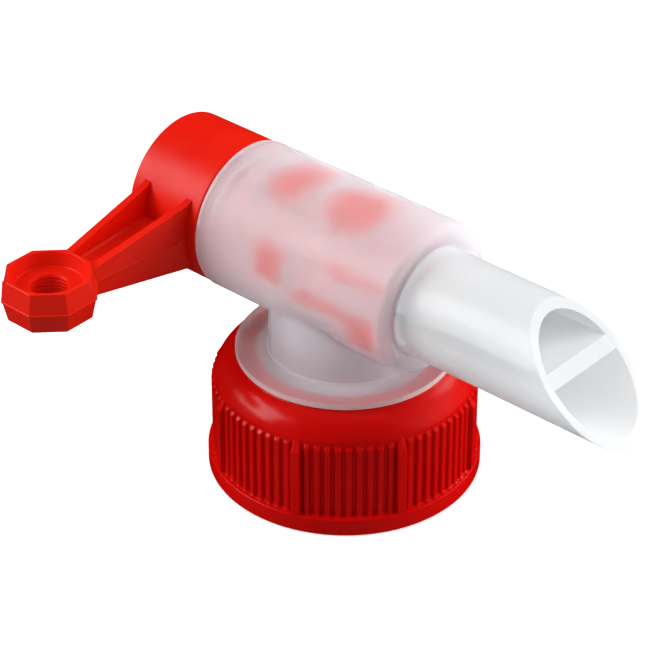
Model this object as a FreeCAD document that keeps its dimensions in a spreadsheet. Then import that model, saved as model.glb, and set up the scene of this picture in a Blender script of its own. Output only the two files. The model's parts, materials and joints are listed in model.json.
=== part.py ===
"""Screw-cap dispensing tap for a canister: tap body, rotary valve plug with its lever, screw cap, gasket.

Frame: +Z up along the cap's axis, origin at the centre of the cap's open rim, spout towards -Y, lever
towards -X (valve closed). The valve turns about a horizontal axis along Y at axis_height. Millimetres.
"""
import FreeCAD, Part
import os

import Sketcher

V = FreeCAD.Vector
doc = FreeCAD.newDocument("DispensingTap")


# ---------------------------------------------------------------------------------------------
# Driving dimensions
# ---------------------------------------------------------------------------------------------

class Size:
    """A number, together with the spreadsheet formula that gives it."""

    def __init__(self, value, text):
        self.value = float(value)
        self.text = text

    def __add__(self, other):
        other = size(other)
        return Size(self.value + other.value, "(%s + %s)" % (self.text, other.text))

    def __radd__(self, other):
        return size(other) + self

    def __sub__(self, other):
        other = size(other)
        return Size(self.value - other.value, "(%s - %s)" % (self.text, other.text))

    def __rsub__(self, other):
        return size(other) - self

    def __mul__(self, other):
        other = size(other)
        return Size(self.value * other.value, "(%s * %s)" % (self.text, other.text))

    def __rmul__(self, other):
        return size(other) * self

    def __truediv__(self, other):
        other = size(other)
        return Size(self.value / other.value, "(%s / %s)" % (self.text, other.text))

    def __neg__(self):
        return Size(-self.value, "(-1 * %s)" % self.text)


def size(thing):
    return thing if isinstance(thing, Size) else Size(thing, repr(float(thing)))


sheet = doc.addObject("Spreadsheet::Sheet", "Sizes")


def cell(alias, value, meaning):
    """Puts one driving dimension in the next row of the sheet and returns it as a Size."""
    cell.row += 1
    sheet.set("A%d" % cell.row, meaning)
    sheet.set("B%d" % cell.row, repr(float(value)))
    sheet.setAlias("B%d" % cell.row, alias)
    return Size(value, "Sizes." + alias)


cell.row = 0

axis_height = cell("axis_height", 50.8, "height of the valve axis above the cap's rim")

# screw cap
flange_radius = cell("flange_radius", 30.0, "outer radius of the cap's bottom flange")
flange_height = cell("flange_height", 3.8, "height of the flange's outer band")
valley_radius = cell("valley_radius", 28.3, "radius of the skirt between the ribs")
rib_radius = cell("rib_radius", 29.0, "radius over the fine grip ribs")
bar_radius = cell("bar_radius", 29.7, "radius over the wide grip bars")
rib_width = cell("rib_width", 1.3, "width of a fine rib at its root")
bar_width = cell("bar_width", 2.1, "width of a wide bar")
rib_draft = cell("rib_draft", 24.0, "slope of the ribs' flanks, degrees")
rib_count = 80
bar_count = 8
cap_turn = cell("cap_turn", 20.3, "angle at which the cap stands, degrees")
cap_bore_radius = cell("cap_bore_radius", 25.6, "wall radius of the cap's threaded bore")
cap_bore_depth = cell("cap_bore_depth", 20.4, "length of the threaded bore")
seat_radius = cell("seat_radius", 25.3, "radius of the gasket's seat")
panel_under = cell("panel_under", 24.7, "height of the panel's underside")
panel_top = cell("panel_top", 28.3, "height of the panel's top")
cap_hole_radius = cell("cap_hole_radius", 19.0, "hole for the tap's collar")
shoulder_radius = cell("shoulder_radius", 8.2, "radius of the rounded shoulder")

# gasket
gasket_radius = cell("gasket_radius", 25.0, "outer radius of the gasket")
gasket_hole_radius = cell("gasket_hole_radius", 18.75, "hole radius of the gasket")
gasket_low = cell("gasket_low", 22.7, "height of the gasket's underside")
gasket_thickness = cell("gasket_thickness", 1.95, "thickness of the gasket")

# tap body
disc_radius = cell("disc_radius", 23.73, "radius of the disc that lies on the cap")
disc_top = cell("disc_top", 29.7, "height of the disc's top")
disc_under = cell("disc_under", 28.4, "height of the disc's underside")
collar_radius = cell("collar_radius", 18.7, "collar through the cap")
collar_low = cell("collar_low", 20.6, "height of the collar's lower end")
snap_radius = cell("snap_radius", 19.6, "bead that holds the gasket and the cap on")
collar_bore_radius = cell("collar_bore_radius", 16.2, "bore of the collar")
neck_radius = cell("neck_radius", 16.4, "outer radius of the neck")
neck_bore_radius = cell("neck_bore_radius", 14.3, "bore of the neck")
barrel_radius = cell("barrel_radius", 16.89, "outer radius of the barrel")
barrel_rear = cell("barrel_rear", 27.94, "rear rim of the barrel along Y")
barrel_front = cell("barrel_front", -24.2, "front face of the barrel along Y")
front_round = cell("front_round", 1.8, "rounding of the barrel's front edge")
front_wall = cell("front_wall", 2.2, "thickness of the barrel's front wall")
bore_radius = cell("bore_radius", 14.8, "bore of the barrel")
snap_groove_radius = cell("snap_groove_radius", 15.45, "groove in the bore for the plug's bead")
spout_radius = cell("spout_radius", 12.1, "outer radius of the spout")
spout_bore_radius = cell("spout_bore_radius", 10.2, "inner radius of the spout")
spout_drop = cell("spout_drop", 0.47, "how far the spout's axis lies below the valve axis")
tip_cut = cell("tip_cut", 64.0, "distance from the cap's axis to the 45 degree cut on the spout's axis")
divider_thickness = cell("divider_thickness", 2.5, "thickness of the spout's divider")
divider_root = cell("divider_root", 0.8, "divider's mid-height above the spout's axis at the barrel")
divider_tip = cell("divider_tip", 2.2, "divider's mid-height above the spout's axis at the cut")
liquid_port_y = cell("liquid_port_y", -4.7, "liquid port along Y")
liquid_port_radius = cell("liquid_port_radius", 4.6, "radius of the liquid port")
air_port_y = cell("air_port_y", 11.1, "air port along Y")
air_port_radius = cell("air_port_radius", 2.7, "radius of the air port")

# valve plug
land_radius = cell("land_radius", 14.74, "radius over the lands that run in the barrel")
core_radius = cell("core_radius", 12.3, "radius of the rotor between its lands")
rotor_bore_radius = cell("rotor_bore_radius", 10.3, "inner radius of the rotor")
rotor_front = cell("rotor_front", -21.4, "front end of the rotor along Y")
chamber_rear = cell("chamber_rear", 14.7, "rear wall of the air chamber along Y")
wall = cell("wall", 2.2, "thickness of the rotor's inner walls")
knob_radius = cell("knob_radius", 16.65, "radius of the knob")
knob_front = cell("knob_front", 28.2, "front face of the knob along Y")
knob_rear = cell("knob_rear", 47.72, "rear face of the knob along Y")
knob_bore_radius = cell("knob_bore_radius", 14.5, "radius of the knob's rear hollow")
lever_y = cell("lever_y", 37.7, "middle plane of the lever along Y")
eye_x = cell("eye_x", 50.2, "distance from the valve axis to the eye")
eye_flats = cell("eye_flats", 19.36, "across the eye's flats at its middle")
eye_half = cell("eye_half", 4.68, "half of the eye's height")
eye_draft = cell("eye_draft", 11.4, "slope of the eye's flats, degrees")
eye_hole_radius = cell("eye_hole_radius", 4.1, "radius of the eye's hole")
eye_floor = cell("eye_floor", 1.5, "height of the recess's floor above the eye's middle")
eye_floor_radius = cell("eye_floor_radius", 7.2, "radius of the eye's recess at its floor")
eye_rim_radius = cell("eye_rim_radius", 7.9, "radius of the eye's recess at its rim")
rib_inner_x = cell("rib_inner_x", 13.0, "lever ribs' end inside the knob")
rib_outer_x = cell("rib_outer_x", 43.0, "lever ribs' end inside the eye")
rib_inner_half = cell("rib_inner_half", 7.27, "lever's half width at the knob")
rib_outer_half = cell("rib_outer_half", 4.8, "lever's half width at the eye")
rib_thickness = cell("rib_thickness", 2.1, "thickness of a lever rib")
web_thickness = cell("web_thickness", 2.0, "thickness of the lever's web")
lever_draft = cell("lever_draft", 1.2, "slope of the lever ribs' sides, degrees")
doc.recompute()


# ---------------------------------------------------------------------------------------------
# Sketches and features
# ---------------------------------------------------------------------------------------------

def new_body(label, placement):
    body = doc.addObject("PartDesign::Body", label)
    body.Label = label
    body.Placement = placement
    return body


def new_sketch(body, name, plane, offset=None):
    """A sketch on one of the body's origin planes, such as XY_Plane."""
    sketch = body.newObject("Sketcher::SketchObject", name)
    face = [f for f in body.Origin.OriginFeatures if f.Role == plane][0]
    sketch.AttachmentSupport = [(face, "")]
    sketch.MapMode = "FlatFace"
    if offset is not None:
        sketch.AttachmentOffset = offset
    return sketch


def fix_point(sketch, geometry, point, position, tag):
    """Ties a point to the sketch's origin, each coordinate by a Size. A plain float stays free."""
    for letter, kind, coordinate in zip("xy", ("DistanceX", "DistanceY"), position):
        if not isinstance(coordinate, Size):
            continue
        index = sketch.addConstraint(
            Sketcher.Constraint(kind, -1, 1, geometry, point, coordinate.value))
        sketch.renameConstraint(index, "%s_%s" % (tag, letter))
        sketch.setExpression("Constraints.%s_%s" % (tag, letter), coordinate.text)


def plain(position):
    return V(*[c.value if isinstance(c, Size) else c for c in position])


def outline(sketch, corners, arcs=None):
    """A closed outline through corners. arcs: {edge number: (centre, anticlockwise)}."""
    arcs = arcs or {}
    count = len(corners)
    first = sketch.GeometryCount
    ends = []
    for i in range(count):
        a, b = plain(corners[i]), plain(corners[(i + 1) % count])
        if i not in arcs:
            sketch.addGeometry(Part.LineSegment(a, b), False)
            ends.append((1, 2))
            continue
        centre, anticlockwise = arcs[i]
        c = plain(centre)
        start, end = (a, b) if anticlockwise else (b, a)
        circle = Part.Circle(c, V(0, 0, 1), (a - c).Length)
        sketch.addGeometry(Part.ArcOfCircle(circle, circle.parameter(start), circle.parameter(end)), False)
        ends.append((1, 2) if anticlockwise else (2, 1))
    for i in range(count):
        following = (i + 1) % count
        sketch.addConstraint(Sketcher.Constraint(
            "Coincident", first + i, ends[i][1], first + following, ends[following][0]))
    held = [list(corner) for corner in corners]
    for i, (centre, _) in arcs.items():
        # an arc's start and centre already give one coordinate of its end
        if all(isinstance(c, Size) for c in corners[i]):
            arm = plain(corners[(i + 1) % count]) - plain(centre)
            held[(i + 1) % count][0 if abs(arm.x) > abs(arm.y) else 1] = None
    for i in range(count):
        fix_point(sketch, first + i, ends[i][0], held[i], "p%d" % (first + i))
        if i in arcs:
            fix_point(sketch, first + i, 3, arcs[i][0], "c%d" % (first + i))
    return sketch


def disc(sketch, centre, radius):
    """A circle with its centre and radius bound to the sheet."""
    index = sketch.addGeometry(Part.Circle(plain(centre), V(0, 0, 1), radius.value), False)
    fix_point(sketch, index, 3, centre, "c%d" % index)
    number = sketch.addConstraint(Sketcher.Constraint("Radius", index, radius.value))
    sketch.renameConstraint(number, "r%d" % index)
    sketch.setExpression("Constraints.r%d" % index, radius.text)
    return sketch


def turning_line(sketch, low, high):
    """A construction line that a revolution turns about."""
    index = sketch.addGeometry(Part.LineSegment(plain(low), plain(high)), True)
    fix_point(sketch, index, 1, low, "a")
    fix_point(sketch, index, 2, high, "b")
    return sketch


def turned(body, name, kind, sketch, axis, angle=None):
    """A Revolution or Groove about the sketch's own axis; a part turn is centred on the sketch."""
    feature = body.newObject("PartDesign::" + kind, name)
    feature.Profile = sketch
    feature.ReferenceAxis = (sketch, [axis])
    feature.Refine = False
    if angle is None:
        feature.Angle = 360
    else:
        feature.Midplane = True
        feature.Angle = angle.value
        feature.setExpression("Angle", angle.text)
    doc.recompute()
    return feature


def padded(body, name, kind, sketch, length, midplane=True, reverse=False, draft=None):
    """A Pad or Pocket; draft narrows a pad away from the sketch."""
    feature = body.newObject("PartDesign::" + kind, name)
    feature.Profile = sketch
    feature.Length = length.value
    feature.setExpression("Length", length.text)
    feature.Midplane = midplane
    feature.Reversed = reverse
    feature.Refine = False
    if draft is not None:
        feature.TaperAngle = -draft.value
        feature.setExpression("TaperAngle", (-draft).text)
    doc.recompute()
    return feature


def repeated(body, name, feature, count):
    """Copies a feature round the body's Z axis."""
    pattern = body.newObject("PartDesign::PolarPattern", name)
    pattern.Originals = [feature]
    axis = [f for f in body.Origin.OriginFeatures if f.Role == "Z_Axis"][0]
    pattern.Axis = (axis, [""])
    pattern.Angle = 360
    pattern.Occurrences = count
    pattern.Refine = False
    body.Tip = pattern
    doc.recompute()
    return pattern


# ---------------------------------------------------------------------------------------------
# Screw cap
# ---------------------------------------------------------------------------------------------

def screw_cap():
    """Ribbed cap: flange, 80 fine ribs with 8 wide bars among them, rounded shoulder, holed panel."""
    body = new_body("screw_cap", FreeCAD.Placement(V(0, 0, 0), FreeCAD.Rotation(V(0, 0, 1), cap_turn.value)))
    shoulder_x = valley_radius + 0.45 - shoulder_radius
    shoulder_z = panel_top - shoulder_radius
    edge = 0.4
    corners = [
        (cap_bore_radius, size(0)),
        (flange_radius - edge, size(0)),
        (flange_radius, size(edge)),
        (flange_radius, flange_height),
        (flange_radius - 0.4, flange_height + 0.4),
        (valley_radius, flange_height + 0.5),
        (valley_radius, 22.78),
        (shoulder_x, panel_top),
        (cap_hole_radius + edge, panel_top),
        (cap_hole_radius, panel_top - edge),
        (cap_hole_radius, panel_under),
        (seat_radius, panel_under),
        (seat_radius, cap_bore_depth),
        (cap_bore_radius, cap_bore_depth),
    ]
    shell = outline(new_sketch(body, "CapShell", "XZ_Plane"), corners, {6: ((shoulder_x, shoulder_z), True)})
    turned(body, "CapTurned", "Revolution", shell, "V_Axis")

    root = valley_radius - 0.6
    rib_low = flange_height + 0.2
    rib = outline(new_sketch(body, "RibSide", "XZ_Plane"), [
        (root, rib_low), (rib_radius, rib_low), (rib_radius, panel_top - 7.1),
        (valley_radius, panel_top - 5.9), (root, panel_top - 5.9)])
    rib_pad = padded(body, "Rib", "Pad", rib, rib_width, draft=rib_draft)
    repeated(body, "Ribs", rib_pad, rib_count)

    bar = outline(new_sketch(body, "BarSide", "XZ_Plane"), [
        (root, flange_height - 0.4), (bar_radius, flange_height - 0.4), (bar_radius, panel_top - 8.7),
        (valley_radius + 0.1, panel_top - 6.0), (root, panel_top - 6.0)])
    bar_pad = padded(body, "Bar", "Pad", bar, bar_width)
    repeated(body, "Bars", bar_pad, bar_count)
    return body


# ---------------------------------------------------------------------------------------------
# Gasket
# ---------------------------------------------------------------------------------------------

def gasket():
    """Flat ring under the cap's panel, round the collar."""
    outer = doc.addObject("Part::Cylinder", "GasketOuter")
    hole = doc.addObject("Part::Cylinder", "GasketHole")
    for solid, radius in ((outer, gasket_radius), (hole, gasket_hole_radius)):
        solid.setExpression("Radius", radius.text)
        solid.setExpression("Height", gasket_thickness.text)
    ring = doc.addObject("Part::Cut", "gasket")
    ring.Base = outer
    ring.Tool = hole
    ring.Label = "gasket"
    ring.Placement = FreeCAD.Placement(V(0, 0, gasket_low.value), FreeCAD.Rotation())
    ring.setExpression("Placement.Base.z", gasket_low.text)
    return ring


# ---------------------------------------------------------------------------------------------
# Tap body. Its own origin is where the neck's axis meets the valve axis.
# ---------------------------------------------------------------------------------------------

def tap_body():
    body = new_body("tap_body", FreeCAD.Placement(V(0, 0, axis_height.value), FreeCAD.Rotation()))
    body.setExpression("Placement.Base.z", axis_height.text)
    zero = size(0)

    def height(level):
        return level - axis_height

    # neck, disc and collar, solid
    edge = 0.25
    flare = 0.3
    foot = neck_radius + 0.35
    stem = outline(new_sketch(body, "StemSide", "XZ_Plane"), [
        (zero, height(collar_low)),
        (collar_radius, height(collar_low)),
        (snap_radius, height(collar_low + 0.9)),
        (snap_radius, height(collar_low + 1.5)),
        (collar_radius, height(collar_low + 2)),
        (collar_radius, height(disc_under)),
        (disc_radius - edge, height(disc_under)),
        (disc_radius, height(disc_under + edge)),
        (disc_radius, height(disc_top - edge)),
        (disc_radius - edge, height(disc_top)),
        (foot + flare, height(disc_top)),
        (foot, height(disc_top + flare)),
        (neck_radius, height(disc_top + flare + 0.2)),
        (neck_radius, zero),
        (zero, zero),
    ], {10: ((foot + flare, height(disc_top + flare)), False)})
    turned(body, "Stem", "Revolution", stem, "V_Axis")

    # passage up the collar and the neck
    passage = outline(new_sketch(body, "PassageSide", "XZ_Plane"), [
        (zero, height(collar_low - 1)),
        (collar_bore_radius, height(collar_low - 1)),
        (collar_bore_radius, height(disc_under)),
        (neck_bore_radius, height(disc_under + 2)),
        (neck_bore_radius, zero),
        (zero, zero),
    ])
    turned(body, "Passage", "Groove", passage, "V_Axis")

    # barrel and spout, solid
    rim_edge = 0.4
    barrel = outline(new_sketch(body, "BarrelSide", "YZ_Plane"), [
        (barrel_rear, zero),
        (barrel_rear, barrel_radius - rim_edge),
        (barrel_rear - rim_edge, barrel_radius),
        (barrel_front + front_round, barrel_radius),
        (barrel_front, barrel_radius - front_round),
        (barrel_front, zero),
    ], {3: ((barrel_front + front_round, barrel_radius - front_round), True)})
    turned(body, "Barrel", "Revolution", barrel, "H_Axis")
    spout = disc(new_sketch(body, "SpoutEnd", "XZ_Plane"), (zero, -spout_drop), spout_radius)
    padded(body, "Spout", "Pad", spout, tip_cut + spout_radius + 1, midplane=False)

    # valve bore, with the groove that the plug's bead snaps into
    mouth = 0.6
    bead_from, bead_to = barrel_rear - 3.6, barrel_rear - 2.0
    bore = outline(new_sketch(body, "BoreSide", "YZ_Plane"), [
        (barrel_rear + 1, zero),
        (barrel_rear + 1, bore_radius + mouth),
        (barrel_rear, bore_radius + mouth),
        (barrel_rear - mouth, bore_radius),
        (bead_to + 0.3, bore_radius),
        (bead_to, snap_groove_radius),
        (bead_from, snap_groove_radius),
        (bead_from - 0.3, bore_radius),
        (barrel_front + front_wall, bore_radius),
        (barrel_front + front_wall, zero),
    ])
    turned(body, "Bore", "Groove", bore, "H_Axis")

    # the spout's channel, and the divider that splits it into a liquid and an air channel
    channel = disc(new_sketch(body, "ChannelEnd", "XZ_Plane"), (zero, -spout_drop), spout_bore_radius)
    padded(body, "Channel", "Pocket", channel, tip_cut + spout_radius + 2, midplane=False, reverse=True)
    half = divider_thickness / 2
    inner_end = barrel_front + front_wall
    outer_end = -(tip_cut + 6)
    divider = outline(new_sketch(body, "DividerSide", "YZ_Plane"), [
        (inner_end, divider_root - half - spout_drop),
        (inner_end, divider_root + half - spout_drop),
        (outer_end, divider_tip + half - spout_drop),
        (outer_end, divider_tip - half - spout_drop),
    ])
    padded(body, "Divider", "Pad", divider, 2 * spout_bore_radius + 1)

    # 45 degree cut of the spout's tip
    reach = spout_radius + 2
    tip = outline(new_sketch(body, "TipSide", "YZ_Plane"), [
        (reach - tip_cut, reach - spout_drop),
        (-(tip_cut + reach), -(reach + spout_drop)),
        (-(tip_cut + 2 * reach), -(reach + spout_drop)),
        (-(tip_cut + 2 * reach), reach - spout_drop),
    ])
    padded(body, "Tip", "Pocket", tip, 4 * spout_radius)

    # the front face falls to a valley at the spout's root
    valley = 0.85
    valley_sketch = new_sketch(body, "ValleySide", "YZ_Plane")
    outline(valley_sketch, [
        (barrel_front, spout_radius + 3 - spout_drop),
        (barrel_front + valley, spout_radius - spout_drop),
        (barrel_front - 1, spout_radius - spout_drop),
        (barrel_front - 1, spout_radius + 3 - spout_drop),
    ])
    turning_line(valley_sketch, (barrel_front - 1, -spout_drop), (barrel_front + valley, -spout_drop))
    turned(body, "Valley", "Groove", valley_sketch, "Axis0")

    # the two ports through the barrel's lower wall into the neck
    ports = new_sketch(body, "Ports", "XY_Plane")
    disc(ports, (zero, liquid_port_y), liquid_port_radius)
    disc(ports, (zero, air_port_y), air_port_radius)
    padded(body, "PortHoles", "Pocket", ports, barrel_radius + 1, midplane=False)
    return body


# ---------------------------------------------------------------------------------------------
# Valve plug: rotor, knob and lever in one moulding. Its own Y axis is the valve axis.
# ---------------------------------------------------------------------------------------------

def about_axis(direction):
    """Offset that turns a YZ sketch about Y, so that its upper side points along direction (degrees
    from +X through +Z)."""
    return FreeCAD.Placement(V(0, 0, 0), FreeCAD.Rotation(V(1, 0, 0), 90 - direction))


def sector(body, name, first_y, last_y, inner, outer, direction, span):
    """A block between two radii and two places along Y, over part of a turn about the valve axis."""
    sketch = new_sketch(body, name + "Side", "YZ_Plane", about_axis(direction.value))
    sketch.setExpression("AttachmentOffset.Rotation.Angle", (90 - direction).text)
    outline(sketch, [(first_y, inner), (last_y, inner), (last_y, outer), (first_y, outer)])
    return turned(body, name, "Revolution", sketch, "H_Axis", span)


def rotor(body):
    """Hollow rotor: closing pads above and below, framed windows at +X, guide lands at -X."""
    zero = size(0)
    over = land_radius + 1.5
    proud = core_radius - 0.5
    seal_y = knob_front - 9
    bead_y = barrel_rear - 2.8
    journal = core_radius + 1.4
    edge = 0.4
    core = outline(new_sketch(body, "CoreSide", "YZ_Plane"), [
        (rotor_front, zero),
        (rotor_front, core_radius),
        (seal_y - 0.7, core_radius),
        (seal_y - 0.4, land_radius),
        (seal_y + 0.4, land_radius),
        (seal_y + 0.7, journal),
        (bead_y - 0.7, journal),
        (bead_y - 0.3, bore_radius + 0.25),
        (bead_y + 0.2, bore_radius + 0.25),
        (bead_y + 0.7, journal),
        (knob_front, journal),
        (knob_front, knob_radius - edge),
        (knob_front + edge, knob_radius),
        (knob_rear - edge, knob_radius),
        (knob_rear, knob_radius - edge),
        (knob_rear, zero),
    ])
    turned(body, "Core", "Revolution", core, "H_Axis")

    # closing pads, top and bottom: round over the liquid port, long over the air port
    pads = new_sketch(body, "Pads", "XY_Plane")
    disc(pads, (zero, liquid_port_y), liquid_port_radius + 1.7)
    padded(body, "LiquidPads", "Pad", pads, 2 * over)
    half = air_port_radius + 2.1
    slot_end = size(2.7)
    slot = outline(new_sketch(body, "SlotPads", "XY_Plane"), [
        (-slot_end, air_port_y - half), (slot_end, air_port_y - half),
        (slot_end, air_port_y + half), (-slot_end, air_port_y + half),
    ], {1: ((slot_end, air_port_y), True), 3: ((-slot_end, air_port_y), True)})
    padded(body, "AirPads", "Pad", slot, 2 * over)

    # frames of the two windows that meet the ports when the valve is open
    frames = new_sketch(body, "Frames", "YZ_Plane")
    disc(frames, (liquid_port_y, zero), liquid_port_radius + 1.7)
    disc(frames, (air_port_y, zero), air_port_radius + 1.5)
    padded(body, "WindowFrames", "Pad", frames, over, midplane=False)

    # guide lands on the lever's side
    sector(body, "ShortLand", size(4.3), size(12.0), proud, land_radius, size(171), size(34))
    sector(body, "UpperLand", rotor_front, size(-6.9), proud, land_radius, size(152.5), size(10))
    sector(body, "LongLand", rotor_front, size(2.6), proud, land_radius, size(187.5), size(15))
    sector(body, "FrontLand", rotor_front, size(-12.9), proud, land_radius, size(203), size(44))

    # everything in the bore is turned to the land radius
    trim = outline(new_sketch(body, "TrimSide", "YZ_Plane"), [
        (rotor_front - 1, land_radius), (rotor_front - 1, over + 5),
        (seal_y - 1, over + 5), (seal_y - 1, land_radius)])
    turned(body, "Trim", "Groove", trim, "H_Axis")

    # inside: one passage from the front, split lengthways; the air side ends in a full round chamber
    passage = outline(new_sketch(body, "RotorBoreSide", "YZ_Plane"), [
        (rotor_front - 1, zero), (rotor_front - 1, rotor_bore_radius),
        (chamber_rear, rotor_bore_radius), (chamber_rear, zero)])
    turned(body, "RotorBore", "Groove", passage, "H_Axis")
    split_end = air_port_y - air_port_radius - 2.4
    anchored = rotor_bore_radius + 0.6
    split = outline(new_sketch(body, "SplitSide", "YZ_Plane"), [
        (rotor_front, -anchored), (split_end, -anchored), (split_end, anchored), (rotor_front, anchored)])
    padded(body, "Split", "Pad", split, wall)
    sector(body, "LiquidEnd", split_end - wall, split_end, zero, anchored, zero, size(180))

    windows = new_sketch(body, "Windows", "YZ_Plane", FreeCAD.Placement(V(0, 0, 3), FreeCAD.Rotation()))
    disc(windows, (liquid_port_y, zero), liquid_port_radius)
    disc(windows, (air_port_y, zero), air_port_radius)
    padded(body, "WindowHoles", "Pocket", windows, over, midplane=False, reverse=True)


def lever(body):
    """Two upright ribs with a web between them, running from the knob to an eight-sided eye."""
    zero = size(0)
    knob_end_x, knob_end_z = size(-16.0), size(7.83)
    rib_reach = 2 * (knob_end_z + 0.6)
    for sign, name in ((1, "Rear"), (-1, "Front")):
        plan = outline(new_sketch(body, name + "RibPlan", "XY_Plane"), [
            (-rib_outer_x, lever_y + sign * rib_outer_half),
            (-rib_inner_x, lever_y + sign * rib_inner_half),
            (-rib_inner_x, lever_y + sign * (rib_inner_half - rib_thickness)),
            (-rib_outer_x, lever_y + sign * (rib_outer_half - rib_thickness)),
        ])
        padded(body, name + "Rib", "Pad", plan, rib_reach, draft=lever_draft)

    # the ribs' upper and lower edges slope down to the eye, with a small facet at the knob
    rise = 0.174
    far_x = -(rib_outer_x + 1)
    far_z = knob_end_z - rise * (rib_outer_x + 1 + knob_end_x)
    for sign, name in ((1, "Top"), (-1, "Bottom")):
        edge = outline(new_sketch(body, name + "EdgeSide", "XZ_Plane"), [
            (far_x, sign * far_z),
            (knob_end_x, sign * knob_end_z),
            (knob_end_x + 1.35, sign * (knob_end_z + 0.6)),
            (knob_end_x + 1.35, sign * size(13)),
            (far_x, sign * size(13)),
        ])
        padded(body, name + "Edge", "Pocket", edge, size(120))

    inset = rib_thickness / 2
    web = outline(new_sketch(body, "WebPlan", "XY_Plane"), [
        (-rib_outer_x, lever_y - rib_outer_half + inset),
        (-rib_inner_x, lever_y - rib_inner_half + inset),
        (-rib_inner_x, lever_y + rib_inner_half - inset),
        (-rib_outer_x, lever_y + rib_outer_half - inset),
    ])
    padded(body, "Web", "Pad", web, web_thickness)

    # eye: eight flats, widest at the middle
    flat = eye_flats / 2
    side = flat * 0.41421356
    eye = outline(new_sketch(body, "EyePlan", "XY_Plane"), [
        (-eye_x + x, lever_y + y) for x, y in (
            (flat, -side), (flat, side), (side, flat), (-side, flat),
            (-flat, side), (-flat, -side), (-side, -flat), (side, -flat))])
    padded(body, "Eye", "Pad", eye, 2 * eye_half, draft=eye_draft)

    # recess in the upper face, with a hole through the solid lower half
    over = 1.0
    flare = (eye_rim_radius - eye_floor_radius) / (eye_half - eye_floor)
    top_radius = eye_rim_radius + flare * over
    top = eye_half + over
    lead = 0.35
    hole = new_sketch(body, "EyeHoleSide", "XZ_Plane", FreeCAD.Placement(V(0, 0, -lever_y.value), FreeCAD.Rotation()))
    hole.setExpression("AttachmentOffset.Base.z", (-lever_y).text)
    outline(hole, [
        (-eye_x, top),
        (top_radius - eye_x, top),
        (eye_floor_radius - eye_x, eye_floor),
        (eye_hole_radius + lead - eye_x, eye_floor),
        (eye_hole_radius - eye_x, eye_floor - lead),
        (eye_hole_radius - eye_x, lead - eye_half),
        (eye_hole_radius + lead + over - eye_x, -top),
        (-eye_x, -top),
    ])
    turning_line(hole, (-eye_x, -top), (-eye_x, top))
    turned(body, "EyeHole", "Groove", hole, "Axis0")

    # the knob is hollow from the rear, down to the wall behind the air chamber
    hollow = outline(new_sketch(body, "HollowSide", "YZ_Plane"), [
        (knob_rear + 1, zero),
        (knob_rear + 1, knob_bore_radius),
        (knob_front + wall, knob_bore_radius - 0.3),
        (knob_front + wall, rotor_bore_radius),
        (chamber_rear + wall, rotor_bore_radius),
        (chamber_rear + wall, zero),
    ])
    turned(body, "Hollow", "Groove", hollow, "H_Axis")


def valve_plug():
    body = new_body("valve_plug", FreeCAD.Placement(V(0, 0, axis_height.value), FreeCAD.Rotation()))
    body.setExpression("Placement.Base.z", axis_height.text)
    rotor(body)
    lever(body)
    return body


# ---------------------------------------------------------------------------------------------
# Build, check and write
# ---------------------------------------------------------------------------------------------

pieces = [screw_cap(), gasket(), tap_body(), valve_plug()]
doc.recompute()

failed = [o.Name for o in doc.Objects if "Invalid" in o.State or "Error" in o.State]
if failed:
    raise RuntimeError("features that failed: " + ", ".join(failed))
for piece in pieces:
    if piece.Shape.isNull() or not piece.Shape.isValid():
        raise RuntimeError(piece.Label + " has no valid shape")

os.makedirs("parts", exist_ok=True)
for piece in pieces:
    shape = piece.Shape
    print("%-12s %d solid(s), %.2f cm3" % (piece.Label, len(shape.Solids), shape.Volume / 1000))
    shape.exportStep("parts/%s.step" % piece.Label)
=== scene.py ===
"""Canister dispensing tap: visual model, light and camera.

Sizes here are in millimetres, in the CAD model's frame, and become metres when a mesh is made.
"""

import json
from math import acos, atan2, cos, hypot, pi, radians, sin, sqrt, tan

import bmesh
import bpy
import numpy as np
from mathutils import Matrix, Vector, noise


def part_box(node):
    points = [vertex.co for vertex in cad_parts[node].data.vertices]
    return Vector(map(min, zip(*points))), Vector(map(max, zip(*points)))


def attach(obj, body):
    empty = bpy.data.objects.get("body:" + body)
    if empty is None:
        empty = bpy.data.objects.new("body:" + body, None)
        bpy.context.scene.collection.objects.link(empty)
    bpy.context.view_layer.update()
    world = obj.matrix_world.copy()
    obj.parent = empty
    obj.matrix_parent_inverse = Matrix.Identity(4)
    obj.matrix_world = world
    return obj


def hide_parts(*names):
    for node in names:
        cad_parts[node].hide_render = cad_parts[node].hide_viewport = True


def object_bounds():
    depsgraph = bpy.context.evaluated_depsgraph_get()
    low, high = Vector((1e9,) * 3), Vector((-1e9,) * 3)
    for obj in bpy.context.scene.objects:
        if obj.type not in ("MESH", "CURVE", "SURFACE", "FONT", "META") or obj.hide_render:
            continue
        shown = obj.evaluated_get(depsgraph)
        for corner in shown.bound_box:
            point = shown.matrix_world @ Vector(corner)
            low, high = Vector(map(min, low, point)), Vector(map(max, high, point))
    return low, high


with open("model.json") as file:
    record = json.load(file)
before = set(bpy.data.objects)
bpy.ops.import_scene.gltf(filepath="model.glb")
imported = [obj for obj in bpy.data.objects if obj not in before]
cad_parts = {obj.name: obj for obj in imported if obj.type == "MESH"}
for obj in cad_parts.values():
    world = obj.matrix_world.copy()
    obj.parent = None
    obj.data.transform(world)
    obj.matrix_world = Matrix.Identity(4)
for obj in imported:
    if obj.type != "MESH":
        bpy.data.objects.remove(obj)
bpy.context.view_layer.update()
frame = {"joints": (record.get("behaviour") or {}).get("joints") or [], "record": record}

MM = 0.001
mounts = {mount["name"]: mount for mount in frame["record"]["mounts"]}
hinges = {joint["name"]: joint for joint in frame["joints"]}


def node_box(node):
    """A CAD node's lowest and highest corner in millimetres."""
    low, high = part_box(node)
    return low / MM, high / MM


# ------------------------------------------------------------------------------- mesh building

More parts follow.
